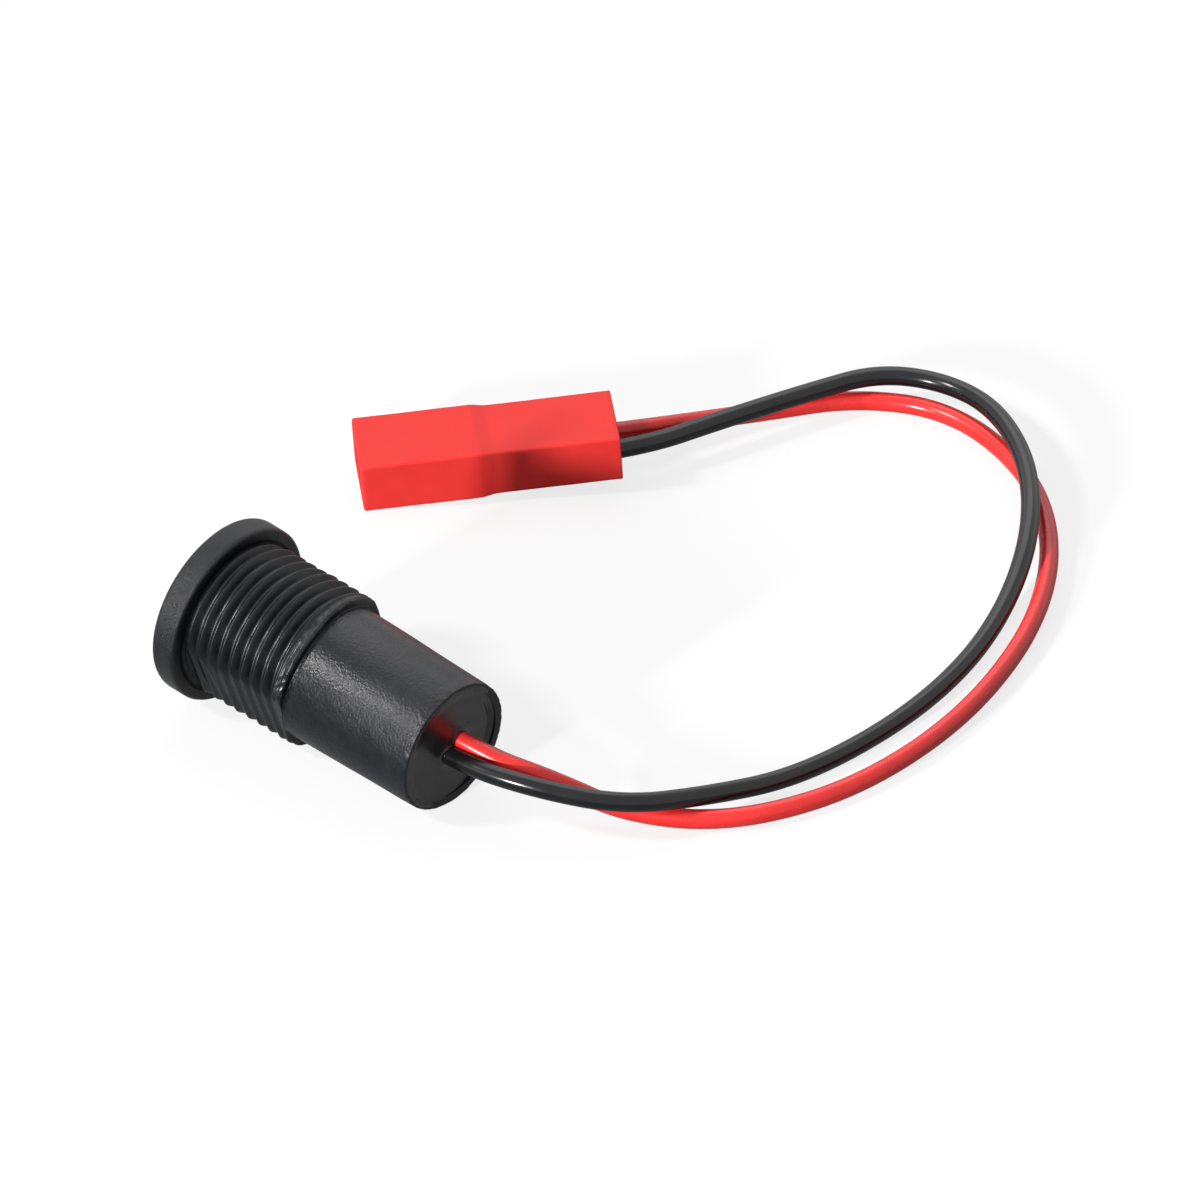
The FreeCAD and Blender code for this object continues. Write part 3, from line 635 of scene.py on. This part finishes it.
def makeConnector():
    # One ring of the rounded section at each station: inside the mouth, then outside to the rear
    p = plug
    centre = p["frontHeight"] / 2
    turn = np.linspace(0, math.pi / 2, 6)

    def ring(x, width, height, rounding):
        section = roundedSection(width, height, rounding, 16, 5)
        return np.column_stack([np.full(len(section), x), section[:, 0], section[:, 1] + centre])

    def inner(x, grow=0.0):
        return ring(x, p["mouthWidth"] + 2 * grow, p["mouthHeight"] + 2 * grow, p["mouthRounding"] + grow)

    def outer(x, inset=0.0):
        linear = np.clip((x - p["taperStart"]) / (p["taperEnd"] - p["taperStart"]), 0, 1)
        share = 0.7 * linear + 0.3 * soften(np.array(x), p["taperStart"], p["taperEnd"])
        width = p["frontWidth"] + (p["rearWidth"] - p["frontWidth"]) * share
        height = p["frontHeight"] + (p["rearHeight"] - p["frontHeight"]) * share
        return ring(x, width - 2 * inset, height - 2 * inset, p["rounding"])

    front, rear, lip = p["frontRounding"], p["rearRounding"], p["lip"]
    rings = [ring(p["mouthDepth"], *p["closing"])]
    rings += [inner(x) for x in np.linspace(p["mouthDepth"], 0.7, 9)]
    rings += [inner(lip - lip * math.sin(angle), lip * (1 - math.cos(angle))) for angle in turn]
    innerRings = len(rings)
    rings += [outer(front - front * math.cos(angle), front * (1 - math.sin(angle))) for angle in turn]
    stations = (
        (0.6, p["taperStart"] - 0.2, 16),
        (p["taperStart"], p["taperEnd"], 12),
        (p["taperEnd"] + 0.3, p["length"] - 0.4, 18),
    )
    rings += [outer(x) for station in stations for x in np.linspace(*station)]
    end = p["length"] - rear
    rings += [outer(end + rear * math.sin(angle), rear * (1 - math.cos(angle))) for angle in turn]
    rings.append(ring(p["length"], *p["closing"]))
    local = np.stack(rings)

    # shallow sinks in the outside walls, never outwards of the solid
    outsideFace = np.zeros(local.shape[:2])
    outsideFace[innerRings + len(turn):-len(turn) - 1] = 1
    middle = local - np.array([0, 0, centre])
    outward = np.stack([np.zeros_like(outsideFace), middle[..., 1], middle[..., 2]], -1)
    outward /= np.linalg.norm(outward, axis=-1, keepdims=True) + 1e-9
    sinks = unevenness(local, p["sinks"]) - p["sinkDepth"]
    local = local + outward * (sinks * outsideFace)[..., None]
    shell = skin("connectorShell", plugPlace.points(local), capStart=True, capEnd=True)

    # the two cavities that the leads go into
    for sign in (1, -1):
        ends = (p["mouthDepth"] - 0.5, p["length"] + 0.5)
        opening = (p["cavityWidth"], p["cavityHeight"], p["cavityRounding"])
        cavity = np.stack([ring(x, *opening) for x in ends])
        cavity += np.array([0, sign * lead["plugSide"], -p["cavityDrop"]])
        cutter = skin("cavityCutter", plugPlace.points(cavity), capStart=True, capEnd=True)
        cut = shell.modifiers.new("cavity", "BOOLEAN")
        cut.operation = "DIFFERENCE"
        cut.object = cutter
        cut.solver = "EXACT"
        applyModifiers(shell)
        bpy.data.objects.remove(cutter)
    return shell


def applyModifiers(piece):
    graph = bpy.context.evaluated_depsgraph_get()
    mesh = bpy.data.meshes.new_from_object(piece.evaluated_get(graph))
    piece.modifiers.clear()
    piece.data = mesh


connectorShell = makeConnector()
print("connector made:", len(connectorShell.data.polygons), "faces")


# how many features of each kind stand in a metre
grain = {"spark": 13000, "cells": 5200, "soft": 3600}


def makeGrainGroup():
    # Height of a moulded grain: fine sparks on top of soft leathery cells
    group = bpy.data.node_groups.new("mouldGrain", "ShaderNodeTree")
    group.interface.new_socket("Vector", in_out="INPUT", socket_type="NodeSocketVector")
    group.interface.new_socket("Spark", in_out="INPUT", socket_type="NodeSocketFloat")
    group.interface.new_socket("Leather", in_out="INPUT", socket_type="NodeSocketFloat")
    group.interface.new_socket("Height", in_out="OUTPUT", socket_type="NodeSocketFloat")
    shading = Shading(group)
    start, end = shading.add("NodeGroupInput"), shading.add("NodeGroupOutput")
    place = start.outputs["Vector"]
    spark = shading.noise(place, grain["spark"], 3, 0.7)
    cells = shading.cells(place, grain["cells"])
    soft = shading.noise(place, grain["soft"], 3, 0.6)
    leather = shading.math("ADD", cells, soft)
    total = shading.math(
        "ADD",
        shading.math("MULTIPLY", spark, start.outputs["Spark"]),
        shading.math("MULTIPLY", leather, start.outputs["Leather"]),
    )
    shading.link(total, end.inputs["Height"])
    return group


grainGroup = makeGrainGroup()


def attribute(shading, name):
    return shading.add("ShaderNodeAttribute", attribute_name=name).outputs["Fac"]


def grainNormal(shading, shader, place, spark, leather, strength, distance):
    node = shading.add("ShaderNodeGroup", node_tree=grainGroup)
    shading.link(place, node.inputs["Vector"])
    for name, value in (("Spark", spark), ("Leather", leather)):
        if isinstance(value, (int, float)):
            node.inputs[name].default_value = value
        else:
            shading.link(value, node.inputs[name])
    bump = shading.add("ShaderNodeBump")
    bump.inputs["Strength"].default_value = strength
    bump.inputs["Distance"].default_value = distance
    shading.link(node.outputs["Height"], bump.inputs["Height"])
    shading.link(bump.outputs["Normal"], shader.inputs["Normal"])


def makeHousingPlastic():
    material, shading, shader, place = newMaterial("blackMoulding", Specular_IOR_Level=0.38)
    zones = ("flangeZone", "barrelZone", "collarZone")
    flange, barrel, collar = (attribute(shading, zone) for zone in zones)
    spark = shading.math("ADD", 0.2, shading.math("MULTIPLY", flange, 1.6))
    leather = shading.math("ADD", 0.12, shading.math("MULTIPLY", barrel, 0.75))
    leather = shading.math("ADD", leather, shading.math("MULTIPLY", flange, 0.6))
    grainNormal(shading, shader, place, spark, leather, 1.0, 0.000028)
    blotch = shading.noise(place, 900, 4, 0.6)
    rough = shading.spread(blotch, 0.3, 0.7, 0.26, 0.38)
    rough = shading.math("MULTIPLY_ADD", attribute(shading, "rearZone"), 0.08, rough)
    shading.link(rough, shader.inputs["Roughness"])
    blacks = ((0.0025, 0.0031, 0.005, 1), (0.005, 0.0059, 0.009, 1))
    tint = shading.blend(shading.spread(blotch, 0.35, 0.65), *blacks)
    worn = shading.math("MULTIPLY", collar, shading.spread(blotch, 0.45, 0.6))
    shading.link(shading.blend(worn, tint, (0.022, 0.022, 0.024, 1)), shader.inputs["Base Color"])
    return material


def makeResinGloss():
    material, shading, shader, place = newMaterial("castResin", Specular_IOR_Level=0.8)
    cloud = shading.noise(place, 700, 3, 0.5)
    tint = shading.blend(cloud, (0.003, 0.003, 0.004, 1), (0.007, 0.007, 0.008, 1))
    shading.link(tint, shader.inputs["Base Color"])
    shading.link(shading.spread(cloud, 0.3, 0.7, 0.26, 0.34), shader.inputs["Roughness"])
    bump = shading.add("ShaderNodeBump")
    bump.inputs["Strength"].default_value = 0.3
    bump.inputs["Distance"].default_value = 0.00004
    shading.link(shading.noise(place, 1500, 2, 0.5), bump.inputs["Height"])
    shading.link(bump.outputs["Normal"], shader.inputs["Normal"])
    return material


def makeInsulation(name, dark, light, level, roughness):
    material, shading, shader, place = newMaterial(name, Specular_IOR_Level=level)
    streak = shading.noise(place, 500, 3, 0.55)
    shading.link(shading.blend(shading.spread(streak, 0.3, 0.7), dark, light), shader.inputs["Base Color"])
    rough = shading.spread(streak, 0.3, 0.7, roughness - 0.04, roughness + 0.05)
    shading.link(rough, shader.inputs["Roughness"])
    grainNormal(shading, shader, place, 0.1, 0.15, 0.25, 0.00001)
    return material


def makeConnectorPlastic():
    material, shading, shader, place = newMaterial("redMoulding", Specular_IOR_Level=0.26)
    cloud = shading.noise(place, 350, 4, 0.55)
    tint = shading.blend(shading.spread(cloud, 0.3, 0.7), (0.82, 0.034, 0.029, 1), (0.87, 0.042, 0.036, 1))
    shading.link(tint, shader.inputs["Base Color"])
    shading.link(shading.spread(cloud, 0.3, 0.7, 0.5, 0.6), shader.inputs["Roughness"])
    grainNormal(shading, shader, place, 0.25, 0.3, 0.5, 0.00002)
    return material


def makeMetal(name, dark, light, roughness):
    material, shading, shader, place = newMaterial(name, Metallic=1.0)
    cloud = shading.noise(place, 1400, 4, 0.6)
    shading.link(shading.blend(shading.spread(cloud, 0.3, 0.7), dark, light), shader.inputs["Base Color"])
    rough = shading.spread(cloud, 0.3, 0.7, roughness - 0.06, roughness + 0.1)
    shading.link(rough, shader.inputs["Roughness"])
    grainNormal(shading, shader, place, 0.3, 0.2, 0.3, 0.00001)
    return material


def makeCarrierPlastic():
    material, shading, shader, place = newMaterial("carrierMoulding", Specular_IOR_Level=0.4)
    cloud = shading.noise(place, 800, 3, 0.5)
    tint = shading.blend(cloud, (0.014, 0.014, 0.015, 1), (0.022, 0.022, 0.024, 1))
    shading.link(tint, shader.inputs["Base Color"])
    shading.link(shading.spread(cloud, 0.3, 0.7, 0.4, 0.52), shader.inputs["Roughness"])
    grainNormal(shading, shader, place, 0.3, 0.5, 0.5, 0.00002)
    return material


blackMoulding = makeHousingPlastic()
castResin = makeResinGloss()
wireReds = ((0.84, 0.026, 0.024, 1), (0.91, 0.036, 0.034, 1))
wireBlacks = ((0.003, 0.0033, 0.0045, 1), (0.006, 0.0067, 0.0085, 1))
redInsulation = makeInsulation("redInsulation", *wireReds, 0.45, 0.26)
blackInsulation = makeInsulation("blackInsulation", *wireBlacks, 0.42, 0.2)
redMoulding = makeConnectorPlastic()
carrierMoulding = makeCarrierPlastic()
nickel = makeMetal("nickelPlate", (0.62, 0.6, 0.55, 1), (0.74, 0.72, 0.68, 1), 0.2)
tin = makeMetal("tinPlate", (0.66, 0.65, 0.62, 1), (0.78, 0.77, 0.74, 1), 0.3)
copper = makeMetal("tinnedCopper", (0.7, 0.55, 0.42, 1), (0.8, 0.68, 0.56, 1), 0.35)
solder = makeMetal("solderMetal", (0.58, 0.58, 0.59, 1), (0.72, 0.72, 0.74, 1), 0.28)
print("materials made")


def dress(piece, material):
    piece.data.materials.clear()
    piece.data.materials.append(material)


for piece, material, slotName, node in (
    (housingShell, blackMoulding, "housing_plastic", "housing"),
    (resinFill, castResin, "resin", "resin_plug"),
    (connectorShell, redMoulding, "connector_plastic", "connector_housing"),
    (redLead, redInsulation, "red_insulation", "red_wire"),
    (blackLead, blackInsulation, "black_insulation", "black_wire"),
):
    dress(piece, material)
    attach(piece, "root")
    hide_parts(node)

nodeFinishes = {
    "contact_carrier": carrierMoulding,
    "centre_pin": nickel,
    "pin_terminal": tin,
    "sleeve_spring": tin,
    "red_solder_joint": solder,
    "black_solder_joint": solder,
    "red_conductor_port_end": copper,
    "black_conductor_port_end": copper,
    "red_conductor_plug_end": copper,
    "black_conductor_plug_end": copper,
    "red_crimp_contact": tin,
    "black_crimp_contact": tin,
}
for node, material in nodeFinishes.items():
    dress(frame["nodes"][node], material)


studio = {
    "floorSize": 3.0,
    "floorColour": (0.24, 0.24, 0.24, 1),
    "floorLift": 0.78,
    "floorLiftInGloss": 0.2,
    "ambient": 0.26,
    "lampColour": (1.0, 0.99, 0.985),
    "ambientColour": (0.93, 0.96, 1.0, 1),
}

lamps = [
    {"name": "keyLamp", "from": (-0.5555, -0.7487, 0.7729), "size": 0.14, "power": 7.2},
    {"name": "lowLamp", "from": (0.034, -1.2, 0.34), "size": 0.1, "power": 17.5},
    {"name": "softLamp", "from": (-0.45, 0.45, 0.85), "size": 0.8, "power": 2.7},
]


def makeFloor():
    half = studio["floorSize"] / 2
    mesh = bpy.data.meshes.new("floor")
    corners = [(-half, -half, 0), (half, -half, 0), (half, half, 0), (-half, half, 0)]
    mesh.from_pydata(corners, [], [(0, 1, 2, 3)])
    floor = bpy.data.objects.new("floor", mesh)
    bpy.context.scene.collection.objects.link(floor)
    material = bpy.data.materials.new("paleFloor")
    material.use_nodes = True
    tree = material.node_tree
    tree.nodes.clear()
    shading = Shading(tree)
    matte = shading.add("ShaderNodeBsdfDiffuse")
    matte.inputs["Color"].default_value = studio["floorColour"]
    glow = shading.add("ShaderNodeEmission")
    path = shading.add("ShaderNodeLightPath")
    # the camera sees the floor glow, so that it stays nearly white and only the shadows are grey
    seen = shading.math("MAXIMUM", path.outputs["Is Camera Ray"], path.outputs["Is Transmission Ray"])
    lift = shading.math("MULTIPLY", seen, studio["floorLift"])
    lift = shading.math("MULTIPLY_ADD", path.outputs["Is Glossy Ray"], studio["floorLiftInGloss"], lift)
    shading.link(lift, glow.inputs["Strength"])
    both = shading.add("ShaderNodeAddShader")
    shading.link(matte.outputs[0], both.inputs[0])
    shading.link(glow.outputs[0], both.inputs[1])
    shading.link(both.outputs[0], shading.add("ShaderNodeOutputMaterial").inputs["Surface"])
    mesh.materials.append(material)


def makeWorld():
    world = bpy.data.worlds.new("studioWorld")
    bpy.context.scene.world = world
    world.use_nodes = True
    tree = world.node_tree
    tree.nodes.clear()
    shading = Shading(tree)
    ambient, backdrop = shading.add("ShaderNodeBackground"), shading.add("ShaderNodeBackground")
    ambient.inputs["Color"].default_value = studio["ambientColour"]
    ambient.inputs["Strength"].default_value = studio["ambient"]
    backdrop.inputs["Color"].default_value = (1, 1, 1, 1)
    backdrop.inputs["Strength"].default_value = 1.0
    path = shading.add("ShaderNodeLightPath")
    # the camera and the reflections see white, and everything else is lit by a weak ambient light
    seen = shading.math("MAXIMUM", path.outputs["Is Camera Ray"], path.outputs["Is Transmission Ray"])
    seen = shading.math("MAXIMUM", seen, path.outputs["Is Glossy Ray"])
    mixed = shading.add("ShaderNodeMixShader")
    shading.link(seen, mixed.inputs[0])
    shading.link(ambient.outputs[0], mixed.inputs[1])
    shading.link(backdrop.outputs[0], mixed.inputs[2])
    shading.link(mixed.outputs[0], shading.add("ShaderNodeOutputWorld").inputs["Surface"])


def makeLamp(settings):
    data = bpy.data.lights.new(settings["name"], "AREA")
    data.shape = "SQUARE"
    data.size = settings["size"]
    data.energy = settings["power"]
    data.color = studio["lampColour"]
    lamp = bpy.data.objects.new(settings["name"], data)
    bpy.context.scene.collection.objects.link(lamp)
    lamp.location = settings["from"]
    lamp.rotation_euler = (-Vector(settings["from"])).to_track_quat("-Z", "Y").to_euler()


makeFloor()
makeWorld()
for settings in lamps:
    makeLamp(settings)
bpy.context.scene.view_settings.view_transform = "Standard"
print("studio made")
